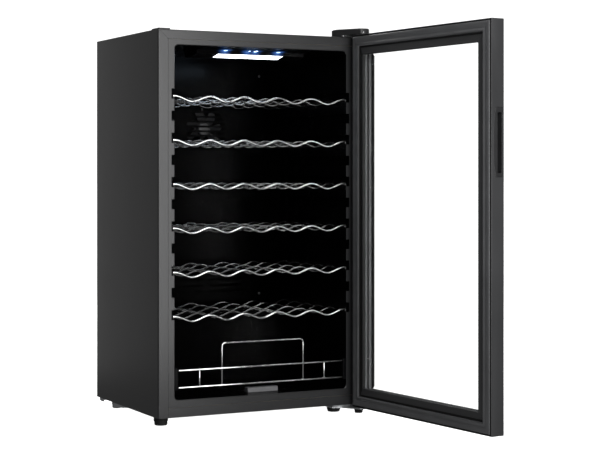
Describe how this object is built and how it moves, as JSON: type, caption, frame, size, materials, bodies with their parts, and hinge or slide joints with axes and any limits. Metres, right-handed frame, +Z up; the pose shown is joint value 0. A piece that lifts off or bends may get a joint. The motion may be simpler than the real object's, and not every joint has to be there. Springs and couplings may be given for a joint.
{
  "type": "wine cooler",
  "caption": "tall compressor wine cooler with a full-height glass door standing open, sliding wavy wire shelves, a wire bottle guard, a ceiling lamp strip and a rear compressor bay",
  "frame": {"origin": "bottom centre of the bounding box as stored, with the door open, on the floor that the feet stand on", "axes": "+Z up, the cabinet's front faces -Y, +X is to the right of someone facing the front; the door is hinged at the right"},
  "size_m": [0.5262, 0.868, 0.8413],
  "materials": {
    "cabinet_paint": "satin",
    "zinc_sheet": "satin",
    "liner_plastic": "satin",
    "foam": "matte",
    "wire_chrome": "polished",
    "black_plastic": "satin",
    "compressor_paint": "satin",
    "rubber_feet": "matte",
    "copper_pipe": "satin",
    "bare_aluminium": "satin",
    "door_frame": "satin",
    "door_seal": "matte",
    "clear_glass": "polished",
    "lamp_diffuser": "satin",
    "display_dark": "gloss",
    "key_lit": "gloss"
  },
  "bodies": {
    "cabinet": {"back_panel": "zinc_sheet", "base_plate": "zinc_sheet", "bay_panel": "zinc_sheet", "bottom_guard": "wire_chrome", "bottom_panel": "cabinet_paint", "compressor": "compressor_paint", "control_strip": "liner_plastic", "display_window": "display_dark", "drier_and_pipe": "copper_pipe", "duct_cover": "liner_plastic", "evaporation_tray": "black_plastic", "evaporator": "bare_aluminium", "fan_motor": "compressor_paint", "floor_stop": "black_plastic", "foam_back": "foam", "foam_bottom": "foam", "foam_left": "foam", "foam_right": "foam", "foam_step_front": "foam", "foam_step_top": "foam", "foam_top": "foam", "foot_hinge": "rubber_feet", "foot_rear_left": "rubber_feet", "foot_rear_right": "rubber_feet", "grommet_1": "rubber_feet", "grommet_2": "rubber_feet", "grommet_3": "rubber_feet", "grommet_4": "rubber_feet", "guard_clip_left": "liner_plastic", "guard_clip_right": "liner_plastic", "hinge_hole_cap": "black_plastic", "inner_liner": "liner_plastic", "lamp_lens": "lamp_diffuser", "lower_hinge": "zinc_sheet", "mains_inlet": "black_plastic", "outer_shell": "cabinet_paint", "suction_pipe": "copper_pipe", "terminal_box": "black_plastic", "upper_hinge": "zinc_sheet", "upper_hinge_cover": "black_plastic"},
    "door": {"door_stile_hinge": "door_frame", "door_stile_handle": "door_frame", "door_rail_top": "door_frame", "door_rail_bottom": "door_frame", "door_glass_outer": "clear_glass", "door_glass_inner": "clear_glass", "glass_spacer": "bare_aluminium", "door_gasket": "door_seal", "handle_cup": "black_plastic"},
    "fan": {"fan_rotor": "black_plastic"},
    "key_left": {"key_left": "key_lit"},
    "key_right": {"key_right": "key_lit"},
    "levelling_foot_left": {"foot_front_left": "rubber_feet"},
    "levelling_foot_right": {"foot_front_right": "rubber_feet"},
    "shelf_1": {"shelf_1": "wire_chrome"},
    "shelf_2": {"shelf_2": "wire_chrome"},
    "shelf_3": {"shelf_3": "wire_chrome"},
    "shelf_4": {"shelf_4": "wire_chrome"},
    "shelf_5": {"shelf_5": "wire_chrome"},
    "shelf_6": {"shelf_6": "wire_chrome"}
  },
  "joints": [
    {"name": "door_swing", "type": "hinge", "parent": "cabinet", "child": "door", "pos_m": [0.2062, 0.03503, 0.4175], "axis": [0, 0, 1], "range_deg": [-95.3, 29.7]},
    {"name": "shelf_1_slide", "type": "slide", "parent": "cabinet", "child": "shelf_1", "axis": [0, -1, 0], "range_m": [0, 0.18]},
    {"name": "shelf_2_slide", "type": "slide", "parent": "cabinet", "child": "shelf_2", "axis": [0, -1, 0], "range_m": [0, 0.18]},
    {"name": "shelf_3_slide", "type": "slide", "parent": "cabinet", "child": "shelf_3", "axis": [0, -1, 0], "range_m": [0, 0.18]},
    {"name": "shelf_4_slide", "type": "slide", "parent": "cabinet", "child": "shelf_4", "axis": [0, -1, 0], "range_m": [0, 0.18]},
    {"name": "shelf_5_slide", "type": "slide", "parent": "cabinet", "child": "shelf_5", "axis": [0, -1, 0], "range_m": [0, 0.18]},
    {"name": "shelf_6_slide", "type": "slide", "parent": "cabinet", "child": "shelf_6", "axis": [0, -1, 0], "range_m": [0, 0.18]},
    {"name": "fan_spin", "type": "hinge", "parent": "cabinet", "child": "fan", "pos_m": [-0.0231, 0.37553, 0.6275], "axis": [0, -1, 0], "continuous": true},
    {"name": "key_left_press", "type": "slide", "parent": "cabinet", "child": "key_left", "axis": [0, 0.1077, 0.9942], "range_m": [0, 0.0008], "stiffness_N_per_m": 300},
    {"name": "key_right_press", "type": "slide", "parent": "cabinet", "child": "key_right", "axis": [0, 0.1077, 0.9942], "range_m": [0, 0.0008], "stiffness_N_per_m": 300},
    {"name": "foot_left_turn", "type": "hinge", "parent": "cabinet", "child": "levelling_foot_left", "pos_m": [-0.2451, 0.08853, 0.0075], "axis": [0, 0, 1], "continuous": true},
    {"name": "foot_right_turn", "type": "hinge", "parent": "cabinet", "child": "levelling_foot_right", "pos_m": [0.1649, 0.09053, 0.0075], "axis": [0, 0, 1], "continuous": true}
  ]
}
